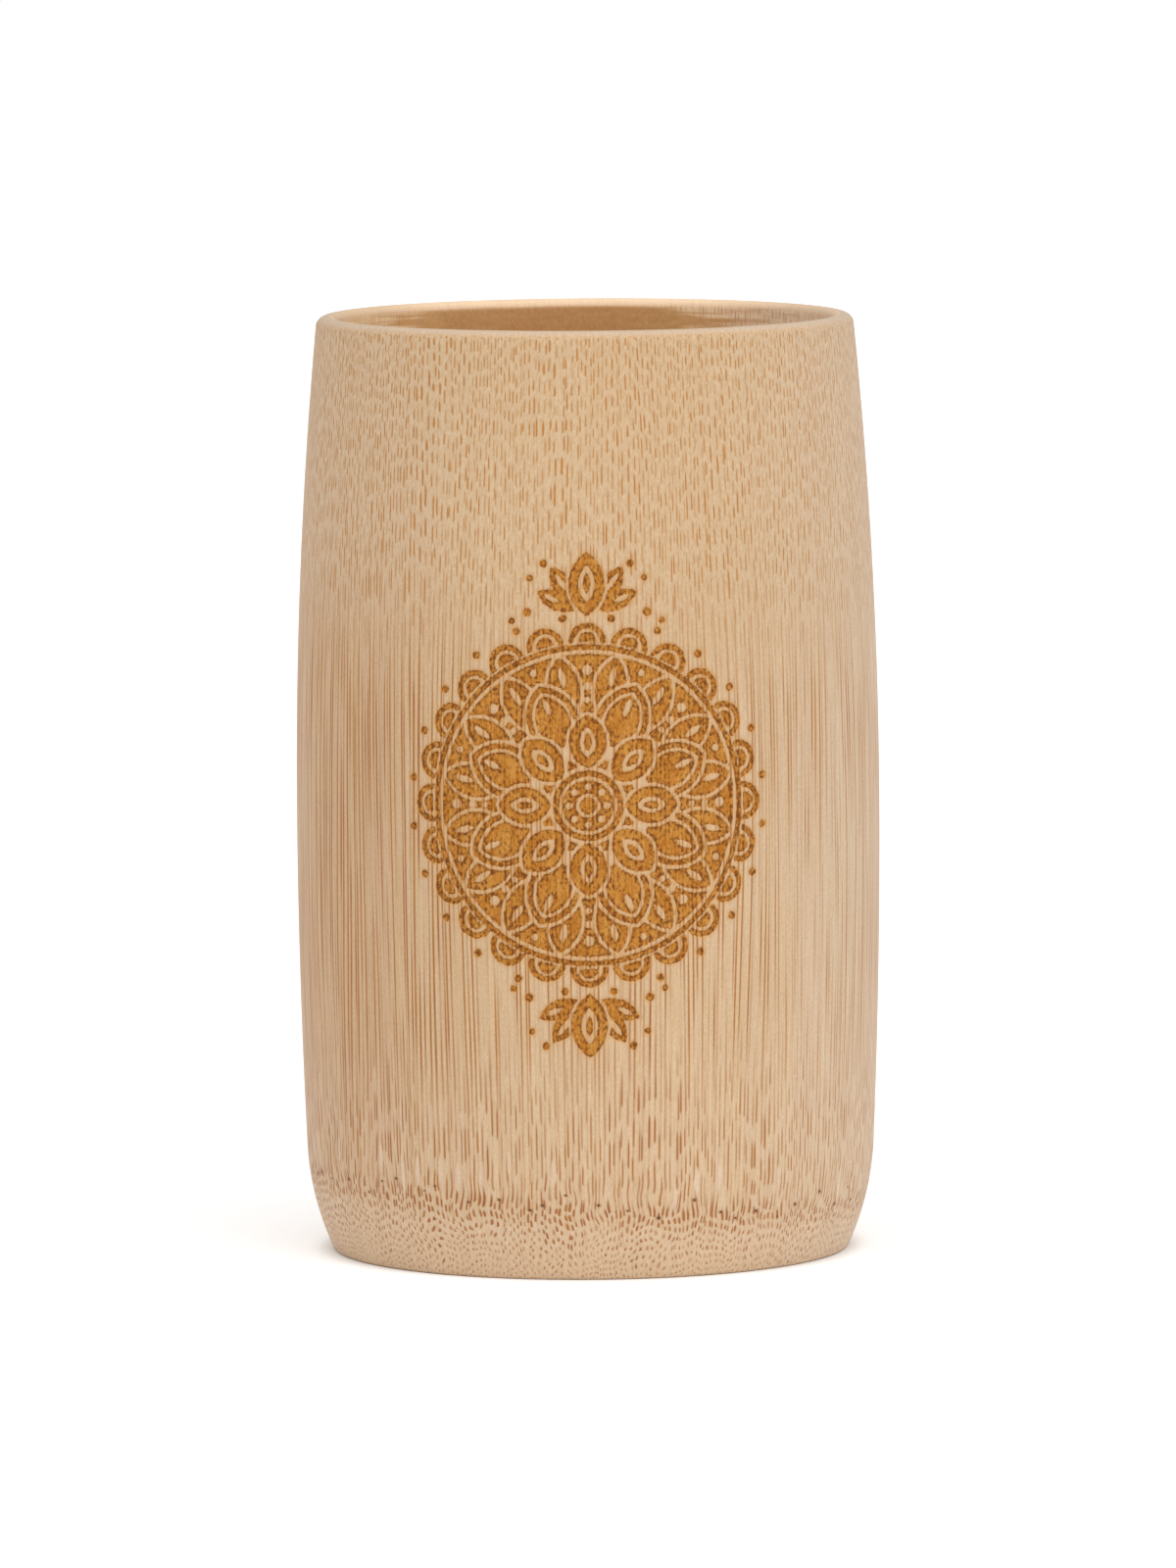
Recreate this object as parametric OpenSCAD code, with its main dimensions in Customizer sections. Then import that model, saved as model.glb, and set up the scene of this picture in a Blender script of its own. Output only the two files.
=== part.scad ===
// Bamboo cup, turned from one section of a thick culm.
// The culm's own cross wall, left in at the bottom, is the floor of the cup.
// The origin is at the centre of the circle that the cup stands on, and +Z points up.

/* [Body] */
// Height of the cup
cup_h = 120; // [105:1:135]
// Greatest outer diameter, at the belly
belly_d = 74.8; // [66:0.2:84]
// Height of the belly
belly_z = 57; // [45:1:70]
// How far the side comes in from the belly to the mouth
mouth_in = 3.1; // [0:0.1:5]
// Height at which the side turns in towards the foot
hip_z = 13.5; // [9:0.5:20]
// How far the side comes in from the belly to that height
hip_in = 0.95; // [0:0.05:2]
// How far the side comes in from there to the foot
foot_in = 3.35; // [1:0.05:5]

/* [Lip] */
// Thickness of the wall at the lip
lip_w = 2.65; // [2.5:0.05:5]
// Radius of the outer edge of the lip
lip_outer_r = 1.3; // [0.3:0.1:1.4]
// Radius of the inner edge of the lip
lip_inner_r = 1.1; // [0.3:0.1:1.1]

/* [Hollow] */
// Radius of the rounded corner at the bottom of the hollow
cove_r = 6; // [2:0.5:12]

/* [Foot ring] */
// Width of the ring that the cup stands on
ring_w = 8.6; // [6:0.1:12]
// Radius of the outer edge of the ring
ring_outer_r = 0.6; // [0.2:0.1:1.5]
// Radius of the inner edge of the ring
ring_inner_r = 0.8; // [0.2:0.1:1.5]

/* [Cross wall] */
// Thickness of the cross wall where it meets the culm
node_t = 6; // [3:0.5:10]
// Height of the cross wall's underside above the table
recess_h = 3; // [2:0.25:5]
// Rise of the dished underside at its middle
dish_h = 0.8; // [0:0.1:1.5]
// Width of the ledge in the culm that carries the cross wall
ledge_w = 2.5; // [1:0.1:4]

/* [Hidden] */

wall_colour = "#d2b18b";
node_colour = "#c39a6b";

// Facets round the cup, and steps along each curve of an outline
$fn = 180;
steps = 12;

// Radii at the belly, the mouth, the hip and the foot, before the edges are rounded
belly_r = belly_d / 2;
mouth_r = belly_r - mouth_in;
hip_r = belly_r - hip_in;
foot_r = hip_r - foot_in;

// Radii of the hollow, of the foot ring's inside and of the cross wall
bore_r = mouth_r - lip_w;
ring_r = foot_r - ring_w;
node_r = ring_r + ledge_w;

floor_z = recess_h + node_t;

// Slope of the side at the hip, and how much further the foot's own curve brings it in
hip_slope = 2 * hip_in / (belly_z - hip_z);
foot_curve_in = foot_in - hip_slope * hip_z;

// The side's curve starts and ends clear of the rounded edges
side_low = 2 * ring_outer_r;
side_high = cup_h - 2 * lip_outer_r;

// Centre of the rounded corner at the bottom of the hollow
cove_x = bore_r - cove_r;
cove_z = floor_z + cove_r;

// Angle down that corner at which the cross wall meets the culm
joint_angle = acos(min(1, max(0, (node_r - cove_x) / cove_r)));
joint_z = cove_z - cove_r * sin(joint_angle);

function unit(v) = v / norm(v);

// Even steps after one value and up to another
function span(from, to) = [for (i = [1 : steps]) from + (to - from) * i / steps];

// Outer radius at a height: two shallow curves that meet at the belly, and the foot's curve
function upper_side(z) = belly_r - mouth_in * pow((z - belly_z) / (cup_h - belly_z), 2);
function lower_side(z) = belly_r - hip_in * pow((belly_z - z) / (belly_z - hip_z), 2);
function foot_side(z) = hip_r - hip_slope * (hip_z - z) - foot_curve_in * pow((hip_z - z) / hip_z, 2);
function side_r(z) = z > belly_z ? upper_side(z) : z > hip_z ? lower_side(z) : foot_side(z);

// Points of an arc that rounds the corner between two straight lines
function rounded(before, corner, after, r) =
    let (
        back = unit(before - corner),
        ahead = unit(after - corner),
        half = acos(back * ahead) / 2,
        centre = corner + unit(back + ahead) * r / sin(half),
        start = corner + back * r / tan(half) - centre,
        end = corner + ahead * r / tan(half) - centre,
        turn = 180 - 2 * half
    )
    [for (i = [0 : steps])
        centre + (start * sin(turn * (1 - i / steps)) + end * sin(turn * i / steps)) / sin(turn)];

// Point on the rounded corner of the hollow, by its angle below the horizontal
function cove_point(angle) = [cove_x + cove_r * cos(angle), cove_z - cove_r * sin(angle)];

// Height of the dished underside at a radius
function dish_z(r) = recess_h + dish_h * (1 - pow(r / ring_r, 2));

side_heights = concat(
    [side_low],
    span(side_low, hip_z),
    span(hip_z, belly_z),
    span(belly_z, side_high)
);
side = [for (z = side_heights) [side_r(z), z]];

lip_middle = [bore_r + lip_w / 2, cup_h];
ring_middle = [ring_r + ring_w / 2, 0];

// Turned wall of the culm, with the lip above and the foot ring below
module culm_wall() {
    color(wall_colour)
        rotate_extrude()
            polygon(concat(
                rounded(ring_middle, [foot_r, 0], side[0], ring_outer_r),
                side,
                rounded(side[len(side) - 1], [mouth_r, cup_h], lip_middle, lip_outer_r),
                rounded(lip_middle, [bore_r, cup_h], [bore_r, cove_z], lip_inner_r),
                [cove_point(0)],
                [for (angle = span(0, joint_angle)) if (joint_angle > 0) cove_point(angle)],
                [[node_r, joint_z], [node_r, recess_h], [ring_r, recess_h]],
                rounded([ring_r, recess_h], [ring_r, 0], ring_middle, ring_inner_r)
            ));
}

// Natural cross wall of the culm, which grows on the ledge and is the floor of the cup
module node_diaphragm() {
    color(node_colour)
        rotate_extrude()
            polygon(concat(
                [[0, dish_z(0)]],
                [for (r = span(0, ring_r)) [r, dish_z(r)]],
                [[node_r, recess_h], [node_r, joint_z]],
                [for (angle = span(joint_angle, 90)) if (joint_angle < 90) cove_point(angle)],
                [[0, floor_z]]
            ));
}

culm_wall();
node_diaphragm();
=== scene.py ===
import math
from types import SimpleNamespace

import bpy
import numpy as np
from mathutils import Matrix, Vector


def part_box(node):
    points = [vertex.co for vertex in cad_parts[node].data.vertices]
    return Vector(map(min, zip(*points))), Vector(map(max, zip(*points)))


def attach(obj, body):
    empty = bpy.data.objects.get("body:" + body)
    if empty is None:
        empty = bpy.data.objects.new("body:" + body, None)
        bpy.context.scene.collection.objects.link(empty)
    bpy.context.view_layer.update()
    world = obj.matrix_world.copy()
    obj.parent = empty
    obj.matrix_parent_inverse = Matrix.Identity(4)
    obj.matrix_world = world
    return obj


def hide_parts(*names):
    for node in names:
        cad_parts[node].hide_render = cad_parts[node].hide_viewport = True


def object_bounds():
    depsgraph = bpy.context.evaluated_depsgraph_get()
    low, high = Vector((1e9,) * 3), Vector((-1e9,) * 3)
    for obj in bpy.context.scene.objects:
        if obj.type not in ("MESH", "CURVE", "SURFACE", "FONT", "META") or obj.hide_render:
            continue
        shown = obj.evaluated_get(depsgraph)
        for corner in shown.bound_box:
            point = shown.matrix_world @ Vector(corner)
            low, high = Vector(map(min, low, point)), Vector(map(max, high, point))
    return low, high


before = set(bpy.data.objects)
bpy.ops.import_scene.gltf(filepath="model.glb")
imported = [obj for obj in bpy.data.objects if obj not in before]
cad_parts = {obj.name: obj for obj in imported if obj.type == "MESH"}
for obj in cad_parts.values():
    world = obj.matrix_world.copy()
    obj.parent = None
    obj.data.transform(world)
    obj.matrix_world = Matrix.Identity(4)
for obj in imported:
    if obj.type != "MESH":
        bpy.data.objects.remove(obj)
cad_low, cad_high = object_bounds()

MM = 0.001
TURN = 2 * math.pi

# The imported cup's own sizes, and the rest of its outline as part.scad gives it
CUP_H = cad_high.z
BELLY_R = cad_high.x
NODE_LOW, NODE_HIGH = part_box("node_diaphragm")
NODE_R = NODE_HIGH.x
RECESS_H = NODE_LOW.z
BELLY_Z = 57 * MM
MOUTH_IN = 3.1 * MM
HIP_Z = 13.5 * MM
HIP_IN = 0.95 * MM
FOOT_IN = 3.35 * MM
LIP_W = 2.65 * MM
LIP_OUTER_R = 1.3 * MM
LIP_INNER_R = 1.1 * MM
COVE_R = 6 * MM
RING_W = 8.6 * MM
RING_OUTER_R = 0.6 * MM
RING_INNER_R = 0.8 * MM
DISH_H = 0.8 * MM
FLOOR_Z = 9 * MM

MOUTH_R = BELLY_R - MOUTH_IN
HIP_R = BELLY_R - HIP_IN
FOOT_R = HIP_R - FOOT_IN
BORE_R = MOUTH_R - LIP_W
RING_R = FOOT_R - RING_W

# Slope of the side at the hip, and how much further the foot's own curve brings it in
HIP_SLOPE = 2 * HIP_IN / (BELLY_Z - HIP_Z)
FOOT_CURVE_IN = FOOT_IN - HIP_SLOPE * HIP_Z

# Rings that the turning tool left on the cross wall
MARK_PITCH = 1.2 * MM
MARK_DEPTH = 0.04 * MM

# The ornament: its middle, its reach on either side, the depth of the burn, and the mesh's steps across it
ORNAMENT_Z = 60.6 * MM
ORNAMENT_HALF_W = 25.2 * MM
ORNAMENT_HALF_H = 32.6 * MM
BURN_DEPTH = 0.2 * MM
MESH_STEP = 0.28 * MM

# The burn's edge in millimetres: its start outside the drawn line, its slope's width, and a place well away
BURN_START = 0.08
BURN_SLOPE = 0.34
FAR_FROM_BURN = 9.0

# Steps of the mesh elsewhere: up the side, up the foot, down the bore and round the wall
SIDE_STEP = 1.5 * MM
FOOT_STEP = 0.7 * MM
BORE_STEP = 5 * MM
ANGLE_STEP = math.radians(4)
FLOOR_SECTORS = 144

# The ornament's sizes in millimetres: the bare gap round a petal, half of a bare line's width, the ground's
# beads by place and radius, a bud's leaves by lean, length and half width, and its beads by place and radius
GAP = 0.45
LINE_HALF = 0.22
GROUND_BEADS = ((13.3, 0.4), (15.0, 0.5), (17.1, 0.65))
BUD_LEAVES = ((0.62, 7.0, 1.35), (1.15, 6.4, 1.2))
BUD_BEADS = ((7.7, 24.3, 0.55), (9.7, 23.2, 0.42), (5.6, 30.4, 0.5), (7.4, 28.6, 0.42))

# Strips of the picture that the wall's material is baked on, as heights from its bottom
BAKE_STRIPS = {
    "under": (0.005, 0.045),
    "lip": (0.055, 0.08),
    "hollow": (0.09, 0.19),
    "back": (0.2, 0.45),
    "front": (0.46, 0.995),
}

# Height of the photograph's frame in pixels, and the camera that the cup's outline was fitted with
PHOTO_H = 1600
FOCAL_PX = 13243
CAMERA_DISTANCE = 1657.6 * MM
CAMERA_Z = 225.1 * MM
CAMERA_PITCH = 0.0995
CAMERA_ROLL = 0.0072
SENSOR_MM = 36

# Light from all round, the table's white, its glow for the camera and reflections, and half of its size
WORLD_STRENGTH = 0.5
TABLE_WHITE = 0.9
TABLE_GLOW = 0.34
TABLE_HALF = 3.0


def side_radius(z):
    """Outer radius of the cup at the heights z."""
    upper = BELLY_R - MOUTH_IN * ((z - BELLY_Z) / (CUP_H - BELLY_Z)) ** 2
    lower = BELLY_R - HIP_IN * ((BELLY_Z - z) / (BELLY_Z - HIP_Z)) ** 2
    foot = HIP_R - HIP_SLOPE * (HIP_Z - z) - FOOT_CURVE_IN * ((HIP_Z - z) / HIP_Z) ** 2
    return np.where(z > BELLY_Z, upper, np.where(z > HIP_Z, lower, foot))


def rounded(before, corner, after, radius, steps=6):
    """Points of an arc that rounds the corner between two straight lines."""
    before, corner, after = (np.array(p, float) for p in (before, corner, after))
    back = (before - corner) / np.linalg.norm(before - corner)
    ahead = (after - corner) / np.linalg.norm(after - corner)
    half = math.acos(back @ ahead) / 2
    middle = (back + ahead) / np.linalg.norm(back + ahead)
    centre = corner + middle * radius / math.sin(half)
    start = corner + back * radius / math.tan(half) - centre
    end = corner + ahead * radius / math.tan(half) - centre
    turn = math.pi - 2 * half
    shares = np.linspace(0, 1, steps + 1)[:, None]
    arc = start * np.sin(turn * (1 - shares)) + end * np.sin(turn * shares)
    return centre + arc / math.sin(turn)


def even(low, high, step):
    """Even steps after low and up to high, or down to it."""
    return np.linspace(low, high, max(1, round(abs(high - low) / step)) + 1)[1:]


def cove(angles):
    """Points of the hollow's rounded corner, by their angle below the horizontal."""
    radius = BORE_R - COVE_R + COVE_R * np.cos(angles)
    return np.column_stack([radius, FLOOR_Z + COVE_R - COVE_R * np.sin(angles)])


def joint_angle():
    """Angle down the hollow's rounded corner at which the cross wall meets the culm."""
    return math.acos((NODE_R - BORE_R + COVE_R) / COVE_R)


def side_rows():
    """The side's outline as (radius, height) rows, with close steps across the ornament."""
    patch_low, patch_high = ORNAMENT_Z - ORNAMENT_HALF_H, ORNAMENT_Z + ORNAMENT_HALF_H
    side_low, side_high = 2 * RING_OUTER_R, CUP_H - 2 * LIP_OUTER_R
    heights = np.concatenate([
        [side_low],
        even(side_low, HIP_Z, FOOT_STEP),
        even(HIP_Z, patch_low, SIDE_STEP),
        even(patch_low, patch_high, MESH_STEP),
        even(patch_high, side_high, SIDE_STEP),
    ])
    return np.column_stack([side_radius(heights), heights])


def wall_profile():
    """The wall's outline as (radius, height) rows, and the part of the wall that each row starts."""
    side = side_rows()
    lip_middle = (BORE_R + LIP_W / 2, CUP_H)
    ring_middle = (RING_R + RING_W / 2, 0)
    foot_edge = rounded(ring_middle, (FOOT_R, 0), side[0], RING_OUTER_R)
    bore = even(CUP_H - 2 * LIP_INNER_R, FLOOR_Z + COVE_R, BORE_STEP)
    parts = [
        ("under", foot_edge[:3]),
        ("side", foot_edge[3:]),
        ("side", side),
        ("lip", rounded(side[-1], (MOUTH_R, CUP_H), lip_middle, LIP_OUTER_R, steps=8)),
        ("hollow", rounded(lip_middle, (BORE_R, CUP_H), (BORE_R, FLOOR_Z), LIP_INNER_R, steps=8)),
        ("hollow", np.column_stack([np.full(len(bore), BORE_R), bore])),
        ("hollow", cove(np.linspace(0, joint_angle(), 10)[1:])),
        ("under", np.array([(NODE_R, RECESS_H), (RING_R, RECESS_H)])),
        ("under", rounded((RING_R, RECESS_H), (RING_R, 0), ring_middle, RING_INNER_R)),
    ]
    rows = np.concatenate([points for _, points in parts])
    names = np.array([name for name, points in parts for _ in points])
    return rows, names


def wall_angles():
    """Angles round the wall, from its left side, with close steps across the ornament."""
    reach = ORNAMENT_HALF_W / BELLY_R
    quarter = TURN / 4
    return np.concatenate([
        even(-quarter, -reach, ANGLE_STEP),
        even(-reach, reach, MESH_STEP / BELLY_R),
        even(reach, quarter, ANGLE_STEP),
        even(quarter, 3 * quarter, ANGLE_STEP),
    ])


def bake_layout(rows, names, angles):
    """Place of every face corner of the wall on the picture that its material is baked on."""
    length = np.hypot(*(np.roll(rows, -1, axis=0) - rows).T)
    weight = length * np.where(rows[:, 1] < HIP_Z, 2, 1)
    start, end = np.zeros(len(rows)), np.zeros(len(rows))
    for name in set(names):
        here = names == name
        total = np.cumsum(weight[here])
        start[here], end[here] = (total - weight[here]) / total[-1], total / total[-1]

    first = angles + TURN / 4
    last = np.roll(first, -1)
    last[-1] += TURN
    row, column = np.meshgrid(np.arange(len(rows)), np.arange(len(angles)), indexing="ij")
    side, back = (names == "side")[row], (first + last > TURN)[column]
    u = np.stack([first[column], last[column], last[column], first[column]], axis=-1) / TURN
    u = np.where(side[..., None], 2 * u - back[..., None], u)
    v = np.stack([start[row], start[row], end[row], end[row]], axis=-1)
    strips = {name: names[row] == name for name in ("under", "lip", "hollow")}
    strips.update(front=side & ~back, back=side & back)
    for name, here in strips.items():
        low, high = BAKE_STRIPS[name]
        v = np.where(here[..., None], low + (high - low) * v, v)
    return np.stack([u, v], axis=-1).reshape(-1, 2)


def petal(along, across, base, tip, half_width):
    """Distance to a leaf shape that lies on the first axis from base to tip."""
    middle, half_length = (base + tip) / 2, (tip - base) / 2
    bow = (half_length ** 2 - half_width ** 2) / (2 * half_width)
    return np.hypot(along - middle, np.abs(across) + bow) - (bow + half_width)


def disc(along, across, centre, radius):
    """Distance to a disc on the first axis."""
    return np.hypot(along - centre, across) - radius


def folded(u, v, count, turned=0.0):
    """Points turned into the first of count equal sectors, by their places along and across its middle."""
    sector = TURN / count
    angle = (np.arctan2(v, u) - turned + sector / 2) % sector - sector / 2
    reach = np.hypot(u, v)
    return reach * np.cos(angle), reach * np.sin(angle)


def lined(shape, inset, width):
    """Cuts an unburnt line into a shape, all along its edge and inside it."""
    return np.maximum(shape, width / 2 - np.abs(shape + inset))


def cut(shape, *others):
    """Takes other shapes out of a shape."""
    for other in others:
        shape = np.maximum(shape, -other)
    return shape


def rosette(u, v):
    """A seed head, three rows of petals, each behind the one inside it, and the ground behind them."""
    reach = np.hypot(u, v)
    eight, between_eight = folded(u, v, 8), folded(u, v, 8, TURN / 16)
    sixteen = folded(u, v, 16, TURN / 32)

    seeds = disc(*eight, centre=2.4, radius=0.45)
    seed_head = cut(reach - 4.45, np.abs(reach - 3.45) - LINE_HALF, np.abs(reach - 1.3) - LINE_HALF, seeds)

    inner = petal(*eight, base=4.7, tip=11.4, half_width=2.35)
    middle = petal(*between_eight, base=6.6, tip=16.2, half_width=3.3)
    outer = petal(*sixteen, base=11.2, tip=19.0, half_width=2.0)
    inner_slot = petal(*eight, base=6.1, tip=9.9, half_width=1.0)
    inner_seed = petal(*eight, base=6.9, tip=9.2, half_width=0.5)
    middle_slot = petal(*between_eight, base=12.0, tip=14.6, half_width=0.4)
    outer_slot = petal(*sixteen, base=15.0, tip=17.8, half_width=0.42)

    beads = [disc(*eight, centre=centre, radius=radius) for centre, radius in GROUND_BEADS]
    between_beads = disc(*between_eight, centre=18.0, radius=0.45)
    ground = np.maximum(reach - 19.1, 4.95 - reach)
    return [
        seed_head,
        cut(inner, inner_slot),
        inner_seed,
        cut(lined(middle, 0.95, 0.42), inner - GAP, middle_slot, reach - 8.0),
        cut(outer, inner - GAP, middle - GAP, outer_slot),
        cut(ground, inner - GAP, middle - GAP, outer - GAP, between_beads, *beads),
    ]


def border(u, v):
    """The ring round the petals, its arches, and the beads between them."""
    reach = np.hypot(u, v)
    arches = folded(u, v, 24)
    arch = disc(*arches, centre=20.6, radius=2.4)
    return [
        np.abs(reach - 19.95) - 0.35,
        np.maximum(cut(arch, disc(*arches, centre=20.6, radius=1.65)), 20.55 - reach),
        np.maximum(disc(*arches, centre=20.7, radius=1.15), 20.6 - reach),
        disc(*folded(u, v, 24, TURN / 48), centre=23.7, radius=0.5),
    ]


def buds(u, v):
    """A bud with leaves and beads, above the border and below it."""
    wide, tall = np.abs(u), np.abs(v)
    bud = petal(tall, u, base=23.8, tip=31.9, half_width=2.3)
    bud_slot = petal(tall, u, base=25.6, tip=30.2, half_width=1.05)
    shapes = [cut(bud, bud_slot), petal(tall, u, base=26.6, tip=29.3, half_width=0.45)]
    for lean, length, half_width in BUD_LEAVES:
        along = (wide - 0.6) * math.sin(lean) + (tall - 24.3) * math.cos(lean)
        across = (wide - 0.6) * math.cos(lean) - (tall - 24.3) * math.sin(lean)
        leaf = petal(along, across, base=0.8, tip=length, half_width=half_width)
        vein = petal(along, across, base=3.2, tip=length - 1.0, half_width=0.35)
        shapes.append(cut(leaf, bud - 0.4, vein))
    for side, rise, radius in BUD_BEADS:
        shapes.append(np.hypot(wide - side, tall - rise) - radius)
    return shapes


def ornament_distance(u, v):
    """Distance to the burnt ornament, negative inside it, with all places in millimetres from its middle."""
    return np.minimum.reduce(rosette(u, v) + border(u, v) + buds(u, v))


def add_mesh(name, vertices, faces, bake_places):
    """A smooth mesh object from arrays, with the place of each face corner on its baked picture."""
    mesh = bpy.data.meshes.new(name)
    mesh.from_pydata(vertices.tolist(), [], faces)
    mesh.shade_smooth()
    mesh.uv_layers.new(name="OFBake").data.foreach_set("uv", np.asarray(bake_places, np.float32).ravel())
    piece = bpy.data.objects.new(name, mesh)
    bpy.context.scene.collection.objects.link(piece)
    return piece


def grid_faces(rows, columns):
    """Four-cornered faces of a closed profile turned through a full circle."""
    row, column = np.meshgrid(np.arange(rows), np.arange(columns), indexing="ij")
    above, beside = (row + 1) % rows, (column + 1) % columns
    here, up = row * columns, above * columns
    corners = [here + column, here + beside, up + beside, up + column]
    return np.stack(corners, axis=-1).reshape(-1, 4)


def burn_share(distance):
    """How deep the burn is, from 0 outside the ornament to 1 inside it, by the distance in millimetres."""
    share = np.clip((BURN_START - distance) / BURN_SLOPE, 0, 1)
    return share * share * (3 - 2 * share)


def culm_wall():
    """The wall of the culm, with the ornament sunk into its front."""
    rows, names = wall_profile()
    angles = wall_angles()
    radius = np.repeat(rows[:, :1], len(angles), axis=1)
    height = np.repeat(rows[:, 1:], len(angles), axis=1)
    angle = np.repeat(angles[None, :], len(rows), axis=0)

    distance = np.full(radius.shape, FAR_FROM_BURN)
    near = (names == "side")[:, None] & (np.abs(height - ORNAMENT_Z) < ORNAMENT_HALF_H)
    near = near & (np.abs(angle * BELLY_R) < ORNAMENT_HALF_W)
    distance[near] = ornament_distance(angle[near] * BELLY_R / MM, (height[near] - ORNAMENT_Z) / MM)
    radius = radius - BURN_DEPTH * burn_share(distance)

    vertices = np.stack([radius * np.sin(angle), -radius * np.cos(angle), height], axis=-1).reshape(-1, 3)
    faces = grid_faces(len(rows), len(angles)).tolist()
    piece = add_mesh("culm_wall_turned", vertices, faces, bake_layout(rows, names, angles))
    ornament = piece.data.attributes.new("ornament", "FLOAT", "POINT")
    ornament.data.foreach_set("value", distance.astype(np.float32).ravel())

    for material in (side_material(), hollow_material(), foot_material()):
        piece.data.materials.append(material)
    slot = {"side": 0, "lip": 0, "hollow": 1, "under": 2}
    of_row = np.array([slot[name] for name in names], np.int32)
    piece.data.polygons.foreach_set("material_index", np.repeat(of_row, len(angles)))
    return piece


def turning_marks(radius):
    """Depth of the fine rings that the turning tool left, at the distances from the axis."""
    return MARK_DEPTH * (1 - np.cos(radius * TURN / MARK_PITCH)) / 2


def floor_rows():
    """Outline of the cross wall, up from its underside's middle, and how many rows the underside takes."""
    step = MARK_PITCH / 4
    under = even(0, RING_R, step)
    top = even(BORE_R - COVE_R, step, step)
    dish = RECESS_H + DISH_H * (1 - (under / RING_R) ** 2) + turning_marks(under)
    rows = np.concatenate([
        np.column_stack([under, dish]),
        [(NODE_R, RECESS_H)],
        cove(np.linspace(joint_angle(), math.pi / 2, 6)),
        np.column_stack([top, FLOOR_Z - turning_marks(top)]),
    ])
    return rows, len(under)


def node_floor():
    """The cross wall of the culm: the floor of the hollow above, and the dished recess below."""
    rows, under_rows = floor_rows()
    count = FLOOR_SECTORS
    angles = np.arange(count) * TURN / count
    radius, height = (np.repeat(rows[:, i:i + 1], count, axis=1) for i in (0, 1))
    rings = np.stack([radius * np.sin(angles), -radius * np.cos(angles), height], axis=-1).reshape(-1, 3)
    vertices = np.concatenate([rings, [(0, 0, RECESS_H + DISH_H), (0, 0, FLOOR_Z)]])

    last_row = (len(rows) - 1) * count
    faces = grid_faces(len(rows), count)[:last_row].tolist()
    for i in range(count):
        beside = (i + 1) % count
        faces.append((len(rings), beside, i))
        faces.append((last_row + i, last_row + beside, len(rings) + 1))
    lower = under_rows * count

    def bake_place(face, corner):
        """Place on the baked picture: the underside on its left half, the top on its right."""
        side = 0.25 if max(face) < lower or len(rings) in face else 0.75
        return [middle + 0.24 * share / NODE_R for middle, share in zip((side, 0.5), vertices[corner])]

    places = [bake_place(face, corner) for face in faces for corner in face]
    piece = add_mesh("node_floor_turned", vertices, faces, places)
    piece.data.materials.append(floor_material())
    return piece


class Value:
    """A number that varies over a surface, so that a material's formulas read as sums."""

    def __init__(self, shader, socket):
        self.shader, self.socket = shader, socket

    def __add__(self, other):
        return self.shader.math("ADD", self, other)

    def __sub__(self, other):
        return self.shader.math("SUBTRACT", self, other)

    def __mul__(self, other):
        return self.shader.math("MULTIPLY", self, other)

    def __truediv__(self, other):
        return self.shader.math("DIVIDE", self, other)

    def __rsub__(self, other):
        return self.shader.math("SUBTRACT", other, self)

    def __neg__(self):
        return self.shader.math("MULTIPLY", self, -1.0)

    def __abs__(self):
        return self.shader.math("ABSOLUTE", self)

    __radd__ = __add__
    __rmul__ = __mul__


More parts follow.
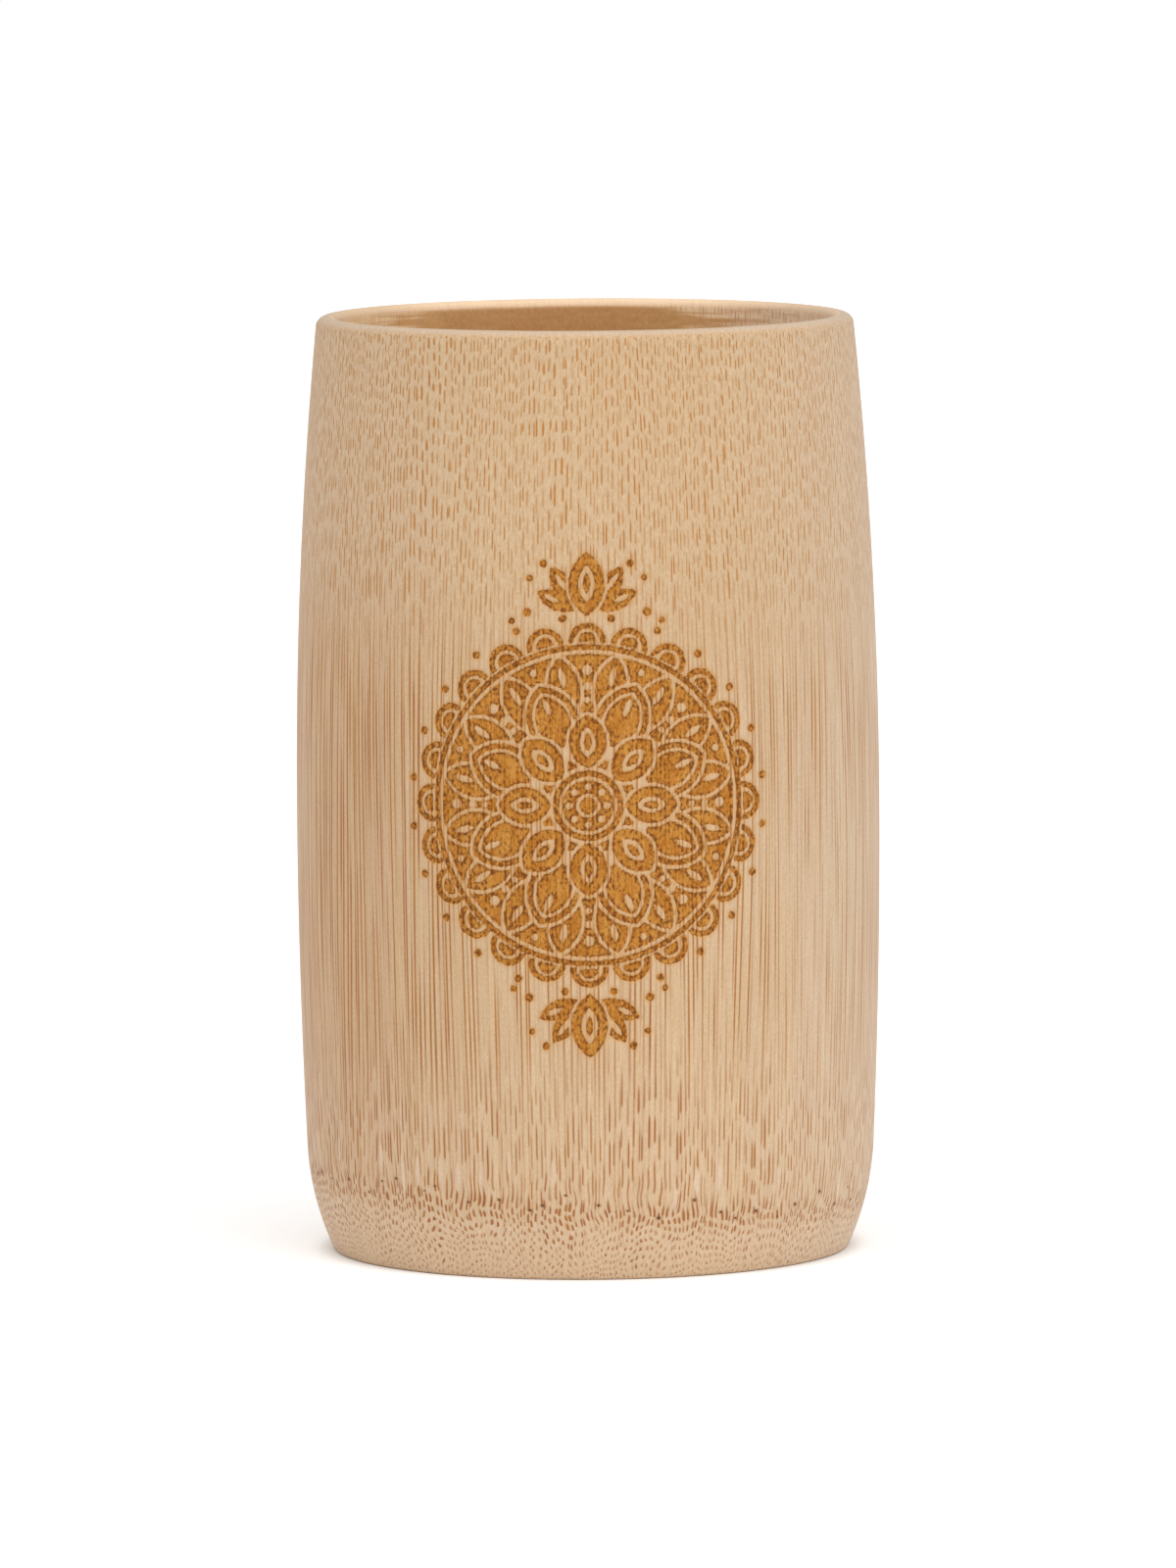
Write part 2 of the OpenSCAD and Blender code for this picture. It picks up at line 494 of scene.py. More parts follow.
class Shader:
    """A material, and the few node kinds that bamboo needs."""

    def __init__(self, name):
        self.material = bpy.data.materials.new(name)
        self.material.use_nodes = True
        self.nodes = self.material.node_tree.nodes
        self.links = self.material.node_tree.links
        self.nodes.clear()

    def node(self, kind, inputs=None, **settings):
        """A node with its settings, and its inputs linked or set."""
        node = self.nodes.new("ShaderNode" + kind)
        for name, value in settings.items():
            setattr(node, name, value)
        for key, value in (inputs or {}).items():
            if isinstance(value, Value):
                self.links.new(value.socket, node.inputs[key])
            else:
                node.inputs[key].default_value = value
        return node

    def value(self, node, output=0):
        return Value(self, node.outputs[output])

    def math(self, operation, a, b=0.0):
        return self.value(self.node("Math", {0: a, 1: b}, operation=operation))

    def floor(self, a):
        return self.math("FLOOR", a)

    def wrap(self, a, count):
        return self.math("FLOORED_MODULO", a, count)

    def smooth(self, low, high, a):
        """0 below low, 1 above high, and a smooth step between them."""
        limits = {"Value": a, "From Min": low, "From Max": high}
        return self.value(self.node("MapRange", limits, interpolation_type="SMOOTHSTEP"))

    def between(self, share, a, b):
        """The first number, turned into the second by a share."""
        return self.value(self.node("Mix", {"Factor": share, "A": a, "B": b}))

    def vector(self, x, y, z):
        return self.value(self.node("CombineXYZ", {0: x, 1: y, 2: z}))

    def noise(self, x, y, z, detail=0.0):
        """Smooth noise from about -1 to 1."""
        node = self.node("TexNoise", {"Vector": self.vector(x, y, z), "Scale": 1.0, "Detail": detail})
        return (self.value(node) - 0.5) * 2.6

    def streaks(self, x, y, z, across, along, seed, detail=0.0):
        """Smooth noise stretched up the culm, by how fast it varies across and along it."""
        return self.noise(x * across, y * across, z * along + seed, detail)

    def random(self, x, y, z):
        """Three random numbers from 0 to 1, the same all over a cell."""
        node = self.node("TexWhiteNoise", {"Vector": self.vector(x, y, z)})
        parts = self.node("SeparateXYZ", {0: self.value(node, "Color")})
        return [self.value(parts, i) for i in range(3)]

    def colour(self, share, a, b):
        """The first colour, turned into the second by a share."""
        node = self.node("Mix", data_type="RGBA")
        for key, value in ((0, share), (6, a), (7, b)):
            if isinstance(value, Value):
                self.links.new(value.socket, node.inputs[key])
            else:
                node.inputs[key].default_value = linear(value) if key else value
        return self.value(node, 2)

    def tinted(self, colour, share):
        """The colour made lighter or darker by a share near 1, and warmer where it is darker."""
        red, green, blue = ((share - 1.0) * weight + 1.0 for weight in (0.65, 1.0, 1.4))
        factors = self.vector(red, green, blue)
        return self.value(self.node("VectorMath", {0: colour, 1: factors}, operation="MULTIPLY"))

    def position(self):
        """Place on the cup in millimetres, with the angle from the front and the distance from the axis."""
        point = self.value(self.node("TexCoord"), "Object")
        parts = self.node("SeparateXYZ", {0: point})
        x, y, z = (self.value(parts, i) * (1 / MM) for i in range(3))
        angle = self.math("ARCTAN2", x, -y)
        radius = self.math("SQRT", x * x + y * y)
        return x, y, z, angle, radius

    def finish(self, colour, roughness, height):
        """Satin surface of that colour, with a bump whose height is in millimetres."""
        bump = self.node("Bump", {"Height": height * MM, "Distance": 1.0, "Strength": 1.0})
        surface = self.node("BsdfPrincipled", {
            "Base Color": colour,
            "Roughness": roughness,
            "Specular IOR Level": SATIN_SPECULAR,
            "Normal": self.value(bump),
        })
        output = self.node("OutputMaterial")
        self.links.new(surface.outputs[0], output.inputs["Surface"])
        return self.material


def linear(colour):
    """A colour written as 0 to 255 on a screen, as Blender's own numbers."""
    shares = [c / 255 for c in colour]
    return [s / 12.92 if s <= 0.04045 else ((s + 0.055) / 1.055) ** 2.4 for s in shares] + [1.0]


# Colours of the outside, of 0 to 255 on a screen: the wood's two tones, its tints, and its fibres
CREAM = (227, 196, 157)
TAN = (204, 168, 127)
# Painted shade: a darker, duller tint for the left side of the outside, where the light falls off
PAINTED_LEFT_SHADE = (198, 154, 118)
GOLDEN_TINT = (214, 174, 118)
# Rosy streaks of the wood's own, which also serve as painted shade on the left side
ROSY_AND_SHADE_TINT = (204, 154, 124)
# Painted sheen: a paler, greyer tint where grazing light would gloss the right side and the upper left
PAINTED_SHEEN_TINT = (222, 198, 173)
# Paler wood of the slits at the node, also used as painted light that lifts the foot and the lower side
SLIT_PALE_AND_FOOT_LIGHT = (233, 206, 177)
# Paler cut edge of the lip, partly its own sanded end and partly a painted highlight
LIP_PALE_AND_HIGHLIGHT = (215, 192, 168)
FIBRE_RED = (170, 106, 58)
FIBRE_GOLD = (186, 128, 66)
FIBRE_UPPER = (197, 134, 60)
PIT = (96, 62, 40)

# Colours of the burn
AMBER_LIGHT = (212, 148, 62)
AMBER = (189, 116, 22)
SCORCH = (120, 62, 4)
FLECK = (231, 174, 100)

# Colours of the bore: wood, painted light for its right side, fibres, flowing streaks, the natural cavity's
# brown, and the inside of the lip with its painted highlight
BORE_TONES = (250, 212, 162), (255, 226, 180)
# Painted light: a very pale tint that lifts the bore's shaded right side
BORE_PAINTED_LIGHT = (255, 232, 204)
BORE_FIBRE = (178, 124, 82)
BORE_FLOW = (206, 158, 112)
CAVITY_FRINGE = (214, 158, 108)
CAVITY_TONES = (212, 166, 110), (200, 150, 96)
# Inside of the lip: its paler cut end, with a painted highlight that is brightest at the back
LIP_INSIDE_PALE_AND_HIGHLIGHT = (228, 197, 163), (253, 221, 187)

# Colours of the foot's end grain and of the cross wall, with the dots of cut bundles in each
FOOT_TONES = (204, 168, 130), (222, 190, 154)
FOOT_DOT = (160, 112, 74)
FLOOR_TONES = (170, 124, 80), (206, 164, 118)
FLOOR_DOT = (140, 94, 56)

# Level of the mirror-like part of every satin surface, on the shader's own scale
SATIN_SPECULAR = 0.3

# Height of the rim in millimetres, which is what the materials count in
RIM = CUP_H / MM

# The cavity's broad brown patch: its direction from the back of the bore, the cosine of its half width at one
# height, and how fast it narrows above that height
CAVITY_SIDE = math.radians(-9)
CAVITY_EDGE = 0.784
CAVITY_Z = RIM - 2.0
CAVITY_TAPER = 0.018

# Fibre bundles round the culm outside and in its bore, and a layer's thickness above the belly and below it
BUNDLES = 380
BORE_BUNDLES = 320
LAYER_ABOVE = 0.2
LAYER_BELOW = 0.23

# The node: its height, radius and slant, how fast its layers dip below it, and the pits and slits round it
NODE_RING_Z = 9.4
NODE_RING_R = 35.9
NODE_TILT = 0.055
NODE_DIP = 0.075
PITS = 64
SLITS = 74

# Where the patterns of the outside fade in or out, in millimetres, as heights above the table
BASE_FADE = (0, 8)
LEFT_SHADE_FOOT_FADE = (8, 25)
LOWER_FADE = (17, 36)
UPPER_FADE = (70, 92)
LEFT_SHADE_TOP_FADE = (80, 105)
DASH_END_FADE = (RIM - 1.1, RIM - 0.4)
LIP_FADE = (RIM - 0.65, RIM - 0.3)

# The same as heights above the node
DOTTED_FADE = (-3.5, -1.0)
VERGE_LOW_FADE = (-3.2, -1.0)
VERGE_HIGH_FADE = (0.2, 1.6)
NEAR_NODE_FADE = (-2.0, 6.0)

# The same as distances to the left, to the right, and either way
LEFT_FADE = (8, 30)
LEFT_SHADE_FADE = (12, 34)
RIGHT_FADE = (10, 32)
SHEEN_RIGHT_FADE = (12, 37)
EDGES_FADE = (18, 36)

# The same in the bore: distances to the right for its painted light and its dashes, the end of the cavity's
# brown, and the inside of the lip's painted highlight
BORE_LIGHT_FADE = (6, 26)
BORE_DASH_FADE = (8, 20)
CAVITY_END_FADE = (RIM - 1.4, RIM - 0.7)
LIP_INSIDE_HIGHLIGHT_FADE = (RIM - 1.2, RIM - 0.6)


def fibres(s, columns, layers, count, seed, below=0.0, scatter=1.0, open_from=0.0, broad=1.0, uneven=1.0):
    """Dashes where a turned surface cuts across fibre bundles, unbroken lines, and each bundle's tone."""
    column = s.floor(columns)
    bundle = s.wrap(column, count)
    tone, phase, offset = s.random(bundle, seed, 0.0)
    level = layers * (1.0 + (tone - 0.5) * scatter * 0.3) + phase * scatter + s.wrap(column, 2) * 0.5
    layer = s.floor(level)
    rising = level - layer
    down = s.between(below, rising, 1.0 - rising)
    start, width, strength = s.random(bundle, layer, seed + 1)
    opening = (start - 0.5) * 0.4 * uneven + open_from + 0.2
    rise = s.smooth(opening - 0.1, opening + 0.25, down)
    fall = 1.0 - s.smooth(0.84, 0.98, down)
    half = (0.07 + 0.08 * rise * fall * (1.0 + (width - 0.5) * 0.8 * uneven)) * broad
    across = columns - column - 0.5 + (offset - 0.5) * 0.5
    edge = 1.0 - s.smooth(0.0, half * 2.1, abs(across + (width - 0.5) * 0.6 * uneven))
    line = 1.0 - s.smooth(0.05, 0.32, abs(across))
    return rise * fall * edge * (0.8 + (strength - 0.5) * 0.8 * uneven), line, tone


def side_zones(s, x, z, node_up):
    """Shares from 0 to 1 that say where on the outside each pattern shows."""
    return SimpleNamespace(
        below=s.math("LESS_THAN", z, BELLY_Z / MM),
        near_node=1.0 - s.smooth(*NEAR_NODE_FADE, node_up),
        dotted=1.0 - s.smooth(*DOTTED_FADE, node_up),
        verge=s.smooth(*VERGE_LOW_FADE, node_up) * (1.0 - s.smooth(*VERGE_HIGH_FADE, node_up)),
        base=1.0 - s.smooth(*BASE_FADE, z),
        lower=1.0 - s.smooth(*LOWER_FADE, z),
        upper=s.smooth(*UPPER_FADE, z),
        lip=s.smooth(*LIP_FADE, z),
        left=s.smooth(*LEFT_FADE, -x),
        right=s.smooth(*RIGHT_FADE, x),
    )


def side_layers(s, x, y, z, radius, node_up, at):
    """The layer of fibres that the side has reached, counted from the belly; layers dip away at the node."""
    ripple = s.noise(x * 0.33, y * 0.33, z * 0.1)
    contour = s.noise(x * 0.06, y * 0.06, z * 0.012) * 0.5 + ripple * (0.08 + at.near_node * 0.14)
    inset = s.math("MAXIMUM", HIP_Z / MM - z, 0.0)
    flare = inset * inset * (FOOT_CURVE_IN * MM / HIP_Z ** 2)
    fallen = s.math("MAXIMUM", -node_up, 0.0)
    dip = fallen * (NODE_DIP + fallen * 0.009)
    return (radius + flare - dip + contour - BELLY_R / MM) / s.between(at.below, LAYER_ABOVE, LAYER_BELOW)


def side_grain(s, x, y, z, columns, layers, slit, grit, at):
    """How dark the fibres of the outside are, and each bundle's tone."""
    broad = 1.2 - at.upper * 0.28 - at.lower * 0.15 + at.verge * 0.3 + at.dotted * 0.3 - at.base * 0.15
    dash, line, tone = fibres(
        s, columns, layers, BUNDLES,
        seed=1.0,
        below=at.below,
        scatter=s.between(at.below, 1.0, 0.5 - at.dotted * 0.25),
        open_from=at.dotted * 0.2,
        broad=broad - at.right * 0.1,
        uneven=0.7 + at.upper * 0.15,
    )
    cluster = s.streaks(x, y, z, 0.36, 0.06, seed=50.0)
    amount = at.lower * (1.3 + cluster * 0.5 + at.verge * 0.5) * (1.0 - at.base * 0.35)
    amount = at.upper * (1.12 + at.left * 0.25) + amount * (1.0 - at.right * (1.0 - at.dotted) * 0.12)
    near_lip = s.smooth(*DASH_END_FADE, z)
    dash = dash * amount * (1.0 + grit * 0.3) * (1.0 - slit * 0.9) * (1.0 - near_lip * 0.8)

    waver = s.streaks(x, y, z, 1.45, 0.05, seed=30.0)
    lined = (1.0 - at.upper * 0.95) * (1.25 + at.left * 0.3 - at.right * 0.2)
    lined = lined * (1.0 - at.lower * 0.7) * (1.0 - at.dotted) * (1.0 - slit)
    line = line * lined * s.smooth(-0.8, 0.8, waver * 1.2 + tone - 0.5)
    return s.math("MINIMUM", s.math("MAXIMUM", dash, line), 1.0), tone


def side_wood(s, x, y, z, tone, slit, at):
    """Colour of the wood between the fibres: duller with painted shade on its left, paler with a painted
    sheen on its right, and paler at its ends, where the foot has painted light and the lip partly a painted
    highlight.
    """
    patch = s.noise(x * 0.035, y * 0.035, z * 0.02, detail=1.0)
    share = 0.68 - at.upper * 0.14 + (tone - 0.5) * 0.16 * (1.0 - at.upper) + patch * 0.2
    wood = s.colour(s.math("MINIMUM", s.math("MAXIMUM", share, 0.0), 1.0), TAN, CREAM)
    # Painted shade: the left side is tinted darker and duller, fading out towards the top and the foot
    left_shade = s.smooth(*LEFT_SHADE_FADE, -x) * (1.0 - s.smooth(*LEFT_SHADE_TOP_FADE, z)) * s.smooth(*LEFT_SHADE_FOOT_FADE, z)
    wood = s.colour(left_shade * 0.26, wood, PAINTED_LEFT_SHADE)
    golden = s.streaks(x, y, z, 0.65, 0.02, seed=400.0, detail=1.0)
    wood = s.colour(s.smooth(-0.3, 0.9, golden) * (1.0 - at.upper * 0.5) * 0.3, wood, GOLDEN_TINT)
    rosy = s.streaks(x, y, z, 0.16, 0.01, seed=200.0, detail=2.0)
    # Rosy streaks of the wood, laid on more heavily on the left side as painted shade
    rosy_and_left_shade = s.smooth(-0.3, 0.8, rosy) * (0.1 + at.left * 0.3) * (1.0 - at.upper * 0.6)
    wood = s.colour(rosy_and_left_shade, wood, ROSY_AND_SHADE_TINT)
    # Painted sheen: paler towards the right side, and a little on the upper left
    wood = s.colour(s.smooth(*SHEEN_RIGHT_FADE, x) * 0.5 + at.left * at.upper * 0.25, wood, PAINTED_SHEEN_TINT)
    # Painted light: the lower side and the dotted band below the node are lifted towards a paler tint; the
    # slits take it as their own paler wood
    wood = s.colour(at.lower * 0.25 + at.dotted * 0.25 + slit * 0.65, wood, SLIT_PALE_AND_FOOT_LIGHT)
    # The lip's crest is paler: partly its sanded cut end, partly a painted highlight
    return s.colour(at.lip * 0.7, wood, LIP_PALE_AND_HIGHLIGHT)


def side_fibre(s, x, y, z, tone, at):
    """Colour of the fibres on the outside: red-brown to golden, and most golden near the lip."""
    hue = s.streaks(x, y, z, 1.3, 0.2, seed=170.0) + tone * 1.2
    hue = hue - at.verge * 0.6 + at.right * (0.7 - at.dotted * 0.5)
    fibre = s.colour(s.smooth(-0.4, 1.6, hue), FIBRE_RED, FIBRE_GOLD)
    return s.colour(at.upper * 0.7, fibre, FIBRE_UPPER)


def side_shade(s, x, y, z, fine, grit, at):
    """How much lighter or darker fine streaks, grit and threads make the outside."""
    threads = s.streaks(x, y, z, 2.75, 0.04, seed=300.0, detail=2.0) * (1.0 - at.upper * 0.7)
    sides = s.streaks(x, y, z, 0.6, 0.06, seed=0.0, detail=2.0) * s.smooth(*EDGES_FADE, abs(x))
    sides = sides * (1.0 - at.upper * 0.5)
    shade = 1.0 + fine * (1.0 - at.lip * 0.5) * (0.1 + at.upper * 0.1)
    return shade + grit * 0.13 + sides * 0.11 + threads * 0.11


def side_material():
    """Turned outside: dashes near the lip, lines in the middle, dots at the foot, and the burnt ornament."""
    s = Shader("turned_bamboo")
    x, y, z, angle, radius = s.position()
    node_up = z - NODE_RING_Z + x * NODE_TILT
    at = side_zones(s, x, z, node_up)

    # Bundles wander a little, swirl at the node, and make room for the slits there
    slit, push = node_slits(s, angle, node_up)
    swirl = s.noise(x * 0.3, y * 0.3, z * 0.3)
    wander = s.noise(x * 0.12, y * 0.12, z * 0.012) * 2.0
    columns = (angle + push) * (BUNDLES / TURN) + wander + swirl * at.near_node
    layers = side_layers(s, x, y, z, radius, node_up, at)
    grit = s.noise(x * 3.6, y * 3.6, z * 2.6, detail=1.0)
    grain, tone = side_grain(s, x, y, z, columns, layers, slit, grit, at)

    # Fibres over the wood, fine streaks and grit over both, then the pits
    long_streaks = s.noise(x * 4.2, y * 4.2, z * 0.3 + swirl * 0.2, detail=2.0)
    fine = s.between(at.upper, long_streaks, s.noise(x * 4.2, y * 4.2, z * 1.2, detail=2.0))
    wood = side_wood(s, x, y, z, tone, slit, at)
    wood = s.colour(grain, wood, side_fibre(s, x, y, z, tone, at))
    wood = s.tinted(wood, side_shade(s, x, y, z, fine, grit, at))
    pit, halo = node_pits(s, angle, node_up)
    wood = s.colour(halo * 0.45, wood, FIBRE_RED)
    wood = s.colour(pit * 0.9, wood, PIT)

    burn, colour = burnt(s, wood, x, y, z, grain, fine)
    height = (fine * 0.004 + grit * 0.003) * (1.0 - at.lip) - grain * 0.02 - pit * 0.12
    height = height + burn * s.noise(x * 2.4, y * 2.4, z * 1.6, detail=2.0) * 0.05
    return s.finish(colour, roughness=0.5 + grain * 0.06 + burn * 0.15, height=height)


def node_slits(s, angle, node_up):
    """Pale slits between the bundles above the node: their share, and how far they push bundles aside."""
    cells = angle * (SLITS / TURN)
    cell = s.floor(cells)
    shift, rise, size = s.random(s.wrap(cell, SLITS), 11.0, 11.0)
    along = (cells - cell - 0.5 + (shift - 0.5) * 0.3) * (TURN / SLITS)
    up = node_up - 1.2 - rise * 4.2
    distance = s.math("SQRT", along * along * 9000.0 + up * up * 0.2) / (0.55 + size * 0.6)
    share = s.smooth(0.2, 0.9, size)
    return s.smooth(1.0, 0.55, distance) * share, along * s.smooth(1.8, 0.3, distance) * share * -0.75


def node_pits(s, angle, node_up):
    """The small pits that ring the culm at its node, which lies a little aslant, and the stain round each."""
    cells = angle * (PITS / TURN)
    cell = s.floor(cells)
    shift, rise, size = s.random(s.wrap(cell, PITS), 7.0, 7.0)
    width = TURN * NODE_RING_R / PITS
    along = (cells - cell - 0.5 + (shift - 0.5) * 0.8) * width
    up = node_up - (rise - 0.4) * 2.9
    distance = s.math("SQRT", along * along * 0.6 + up * up) / (0.5 + size * 0.7)
    return s.smooth(0.2, 0.1, distance), s.smooth(0.5, 0.15, distance)


def burnt(s, wood, x, y, z, grain, fine):
    """The ornament's burn over the wood: its share, and the colour."""
    distance = s.value(s.node("Attribute", attribute_name="ornament"), "Fac")
    ragged = distance + s.noise(x * 3.0, y * 3.0, z * 1.2) * 0.09
    burn = s.smooth(0.08, -0.06, ragged)
    cloud = s.noise(x * 0.8, y * 0.8, z * 0.4, detail=3.0)
    speck = s.noise(x * 2.8, y * 2.8, z * 2.0, detail=4.0)
    rim = s.smooth(-0.6, -0.05, ragged)
    colour = s.colour(s.smooth(-0.6, 0.8, cloud + fine + speck * 0.5), AMBER, AMBER_LIGHT)
    colour = s.colour(s.smooth(0.1, 0.7, -speck) * 0.6, colour, FLECK)
    dark = s.smooth(0.0, 0.8, rim * 0.36 + speck * 1.2 + grain * 0.3)
    colour = s.colour(dark * 0.95, colour, SCORCH)
    toasted = s.colour(s.smooth(0.6, 0.0, distance + speck * 0.1) * 0.35, wood, AMBER_LIGHT)
    return burn, s.colour(burn, toasted, colour)


def bored_wood(s, x, tone, dash, line, flow, strokes):
    """Colour of the bore's turned wood, paler on its right with painted light, with its fibres and flowing
    streaks.
    """
    wood = s.colour(tone, *BORE_TONES)
    # Painted light: the bore's right side, which lies in shade, is lifted towards a very pale tint
    wood = s.colour(s.smooth(*BORE_LIGHT_FADE, x) * 0.8, wood, BORE_PAINTED_LIGHT)
    grain = s.math("MAXIMUM", dash * (0.3 + s.smooth(*BORE_DASH_FADE, x) * 0.3), line * 0.06)
    wood = s.colour(grain, wood, BORE_FIBRE)
    return s.colour(s.smooth(-0.3, 0.8, flow + strokes * 0.5) * 0.65, wood, BORE_FLOW)


def cavity_reach(s, x, y, z, radius, flow, strokes):
    """How far the natural cavity lies outside the bore: a broad patch at the back, and smaller ones."""
    side_x, side_y = math.sin(CAVITY_SIDE), math.cos(CAVITY_SIDE)
    reach = (x * side_x + y * side_y) / radius - CAVITY_EDGE - (z - CAVITY_Z) * CAVITY_TAPER
    return reach + s.noise(x * 0.07, y * 0.07, z * 0.05, detail=2.0) * 0.14 + flow * 0.12 + strokes * 0.04


def cavity_brown(s, z, cavity, fine, flow, grit):
    """Colour of the cavity's own smooth surface, with faint bands along its edge."""
    band = s.math("SINE", cavity * 60.0 + z * 2.0 + fine * 0.3)
    banded = band * (1.0 - s.smooth(0.1, 0.25, cavity))
    brown = s.colour(s.smooth(0.0, 0.25, cavity), *CAVITY_TONES)
    return s.tinted(brown, 1.0 + banded * 0.05 + grit * 0.09 + flow * 0.12)


def hollow_material():
    """Bored inside of the culm, with smooth brown patches of its natural cavity between the turned parts."""
    s = Shader("bored_bamboo")
    x, y, z, angle, radius = s.position()
    columns = angle * (BORE_BUNDLES / TURN) + s.noise(x * 0.12, y * 0.12, z * 0.015) * 2.0
    drift = s.noise(x * 0.08, y * 0.08, z * 0.02) + s.noise(x * 0.3, y * 0.3, z * 0.08) * 0.2
    dash, line, tone = fibres(s, columns, drift * 3.0 + z * 0.4, BORE_BUNDLES, seed=3.0)
    fine = s.noise(x * 4.0, y * 4.0, z * 0.3, detail=2.0)
    flow = s.noise(x * 0.08, y * 0.08, z * 1.1, detail=3.0)
    strokes = s.noise(x * 0.1, y * 0.1, z * 2.4, detail=1.0)
    grit = s.noise(x * 2.4, y * 2.4, z * 1.8, detail=2.0)

    # The cavity's brown over the bored wood, with a streaky fringe, up to the edge of the lip
    wood = bored_wood(s, x, tone, dash, line, flow, strokes)
    cavity = cavity_reach(s, x, y, z, radius, flow, strokes)
    natural = s.smooth(-0.03, 0.06, cavity) * (1.0 - s.smooth(*CAVITY_END_FADE, z))
    fringe = s.smooth(-0.3, 0.0, cavity) * s.smooth(-0.5, 0.6, flow + strokes)
    wood = s.colour(fringe * 0.6, wood, CAVITY_FRINGE)
    wood = s.colour(natural, wood, cavity_brown(s, z, cavity, fine, flow, grit))

    # Painted highlight on the inside of the lip, brightest at the back of the bore, over its paler cut end
    lip_pale_and_highlight = s.colour(s.smooth(0.5, 0.9, y / radius), *LIP_INSIDE_PALE_AND_HIGHLIGHT)
    wood = s.colour(s.smooth(*LIP_INSIDE_HIGHLIGHT_FADE, z) * 0.8, wood, lip_pale_and_highlight)
    wood = s.tinted(wood, 1.0 + grit * 0.08 + strokes * (1.0 - natural * 0.6) * 0.07)
    height = fine * 0.005 + strokes * 0.008 - (dash + line) * (1.0 - natural) * 0.006
    return s.finish(wood, roughness=0.5, height=height)


def end_grain(s, x, y, pitch):
    """Darkness of the bundles' cut ends, as dots."""
    node = s.node("TexVoronoi", {"Vector": s.vector(x, y, 0.0), "Scale": 1 / pitch})
    return s.smooth(0.34, 0.16, s.value(node))


def foot_material():
    """Cut end of the culm under the cup: dots of end grain."""
    s = Shader("foot_end_grain")
    x, y, z, *_ = s.position()
    dots = end_grain(s, x, y, 1.1)
    cloud = s.noise(x * 0.1, y * 0.1, z * 0.1, detail=2.0)
    wood = s.colour(s.smooth(-1.0, 1.0, cloud), *FOOT_TONES)
    wood = s.colour(dots * 0.6, wood, FOOT_DOT)
    return s.finish(wood, roughness=0.6, height=dots * -0.02)


def floor_material():
    """Cross wall at the node: tangled fibres under fine turning marks."""
    s = Shader("node_cross_wall")
    x, y, z, _, radius = s.position()
    bend = s.noise(x * 0.12, y * 0.12, z * 0.1, detail=2.0)
    curl = s.noise(x * 0.5 + bend, y * 0.5 - bend, z * 0.2, detail=3.0)
    rings = s.math("SINE", radius * (TURN / 0.9))
    wood = s.colour(s.smooth(-1.0, 1.0, curl), *FLOOR_TONES)
    dots = end_grain(s, x + bend * 1.5, y + curl, 1.3)
    wood = s.colour(dots * 0.4, wood, FLOOR_DOT)
    return s.finish(wood, roughness=0.6, height=rings * 0.006 + curl * 0.02)


def add_camera():
    """Camera at the place that the photograph was taken from."""
    data = bpy.data.cameras.new("camera")
    data.sensor_width = SENSOR_MM
    data.lens = FOCAL_PX * SENSOR_MM / PHOTO_H
    camera = bpy.data.objects.new("camera", data)
    place = Matrix.Translation((0, -CAMERA_DISTANCE, CAMERA_Z))
    tilt = Matrix.Rotation(math.pi / 2 - CAMERA_PITCH, 4, "X")
    roll = Matrix.Rotation(-CAMERA_ROLL, 4, "Z")
    camera.matrix_world = place @ tilt @ roll
    bpy.context.scene.collection.objects.link(camera)
    bpy.context.scene.camera = camera


def add_light(name, side, rise, softness, strength):
    """Broad distant lamp, by its angles in degrees: to the camera's right, above the table, and across."""
    data = bpy.data.lights.new(name, "SUN")
    data.angle = math.radians(softness)
    data.energy = strength
    lamp = bpy.data.objects.new(name, data)
    lamp.rotation_euler = (math.radians(90 - rise), 0, math.radians(side))
    bpy.context.scene.collection.objects.link(lamp)


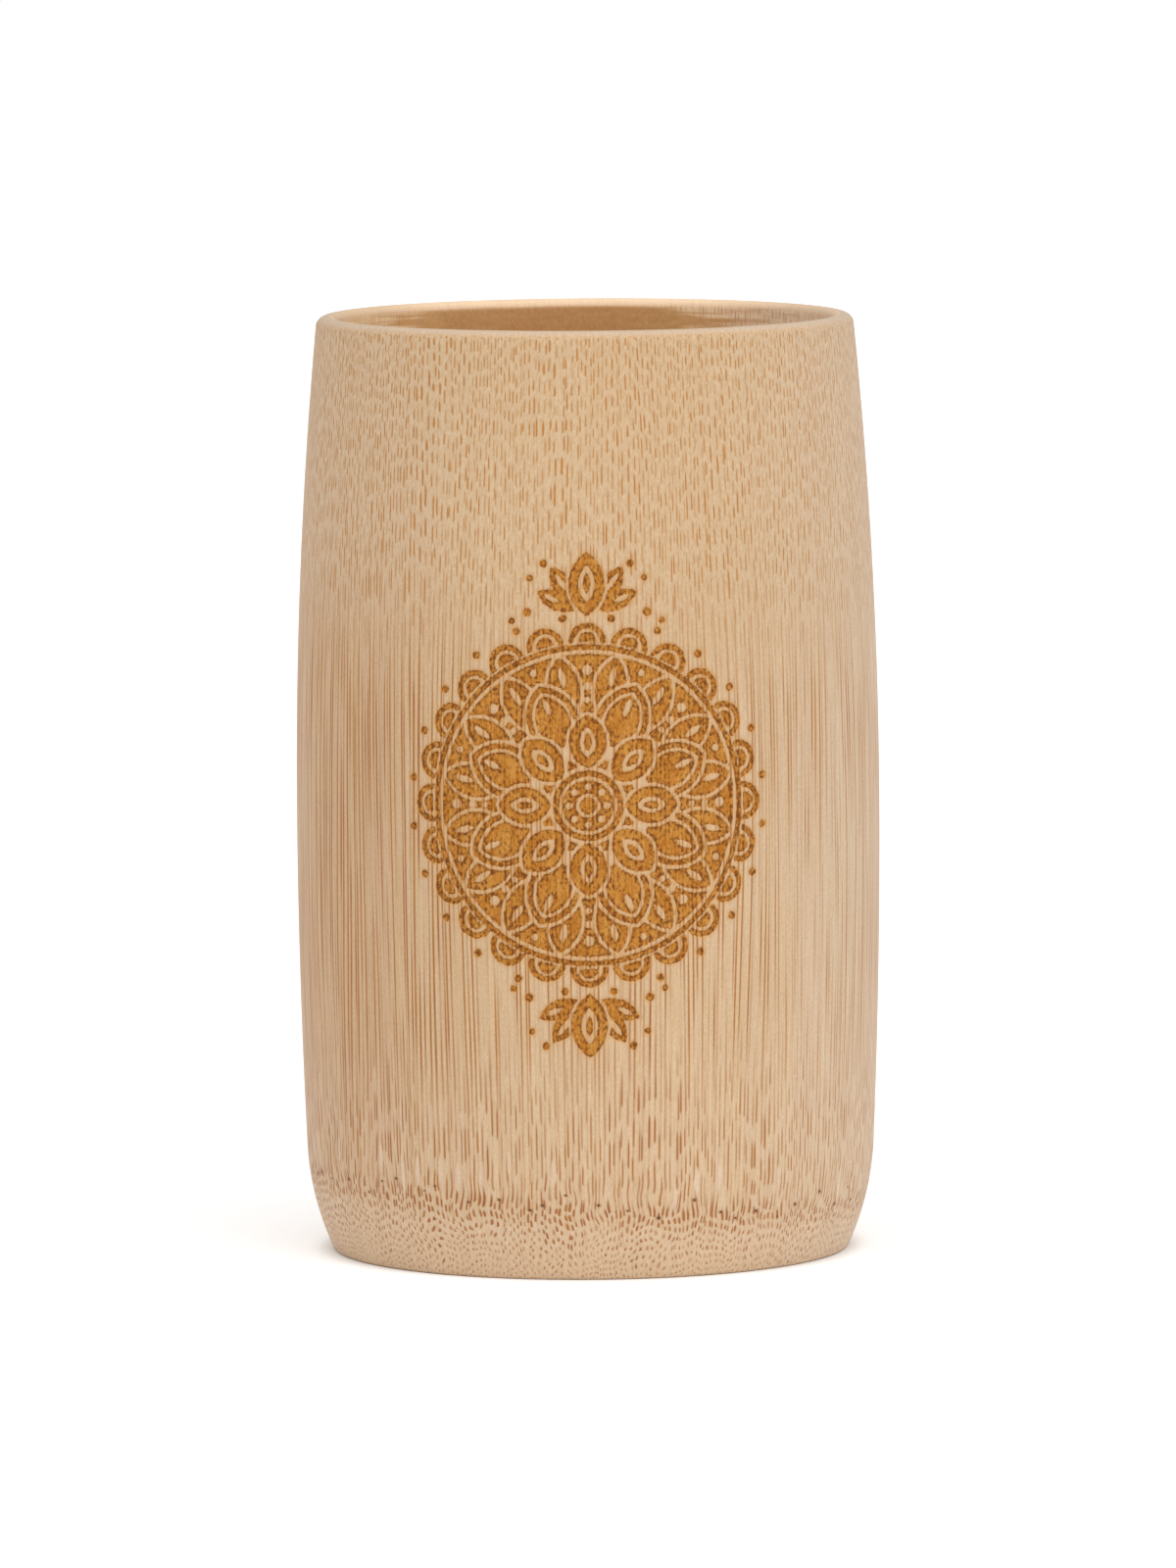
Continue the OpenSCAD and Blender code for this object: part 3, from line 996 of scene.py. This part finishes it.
def table_material():
    """White table, with a glow that only the camera and reflections see, and that fades in crevices as a
    painted contact shadow.
    """
    s = Shader("white_table")
    diffuse = s.node("BsdfDiffuse", {"Color": (TABLE_WHITE, TABLE_WHITE, TABLE_WHITE, 1.0)})
    # Painted shadow: the glow dims where ambient occlusion finds the cup close by, darkening the table round
    # the foot
    crevice = s.node("AmbientOcclusion", {"Distance": 5 * MM}, samples=16)
    open_sky = s.smooth(0.1, 0.75, s.value(crevice, "AO"))
    glow = s.node("Emission", {"Color": (1.0, 1.0, 1.0, 1.0), "Strength": open_sky * TABLE_GLOW})
    path = s.node("LightPath")
    seen = s.math("MAXIMUM", s.value(path, "Is Camera Ray"), s.value(path, "Is Glossy Ray"))
    none = s.node("Emission", {"Strength": 0.0})
    chosen = s.node("MixShader", {0: seen})
    s.links.new(none.outputs[0], chosen.inputs[1])
    s.links.new(glow.outputs[0], chosen.inputs[2])
    both = s.node("AddShader")
    s.links.new(diffuse.outputs[0], both.inputs[0])
    s.links.new(chosen.outputs[0], both.inputs[1])
    output = s.node("OutputMaterial")
    s.links.new(both.outputs[0], output.inputs["Surface"])
    return s.material


def add_floor():
    """White table that the cup stands on."""
    mesh = bpy.data.meshes.new("table")
    half = TABLE_HALF
    corners = [(-half, -half, 0), (half, -half, 0), (half, half, 0), (-half, half, 0)]
    mesh.from_pydata(corners, [], [(0, 1, 2, 3)])
    mesh.materials.append(table_material())
    table = bpy.data.objects.new("table", mesh)
    bpy.context.scene.collection.objects.link(table)


def add_world():
    """Even light from all round, and plain white where the camera looks past the table."""
    world = bpy.data.worlds.new("studio")
    bpy.context.scene.world = world
    world.use_nodes = True
    nodes, links = world.node_tree.nodes, world.node_tree.links
    background = nodes["Background"]
    background.inputs["Color"].default_value = (1.0, 1.0, 1.0, 1.0)
    path = nodes.new("ShaderNodeLightPath")
    strength = nodes.new("ShaderNodeMix")
    strength.inputs["A"].default_value = WORLD_STRENGTH
    strength.inputs["B"].default_value = 1.0
    links.new(path.outputs["Is Camera Ray"], strength.inputs["Factor"])
    links.new(strength.outputs[0], background.inputs["Strength"])


add_camera()
add_world()
add_floor()
add_light("key", side=42, rise=32, softness=40, strength=0.68)
add_light("fill", side=-50, rise=20, softness=60, strength=0.25)
add_light("top", side=0, rise=74, softness=60, strength=1.1)

wall = culm_wall()
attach(wall, "root")
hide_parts("culm_wall")

floor = node_floor()
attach(floor, "root")
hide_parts("node_diaphragm")

bpy.context.scene.view_settings.view_transform = "Standard"
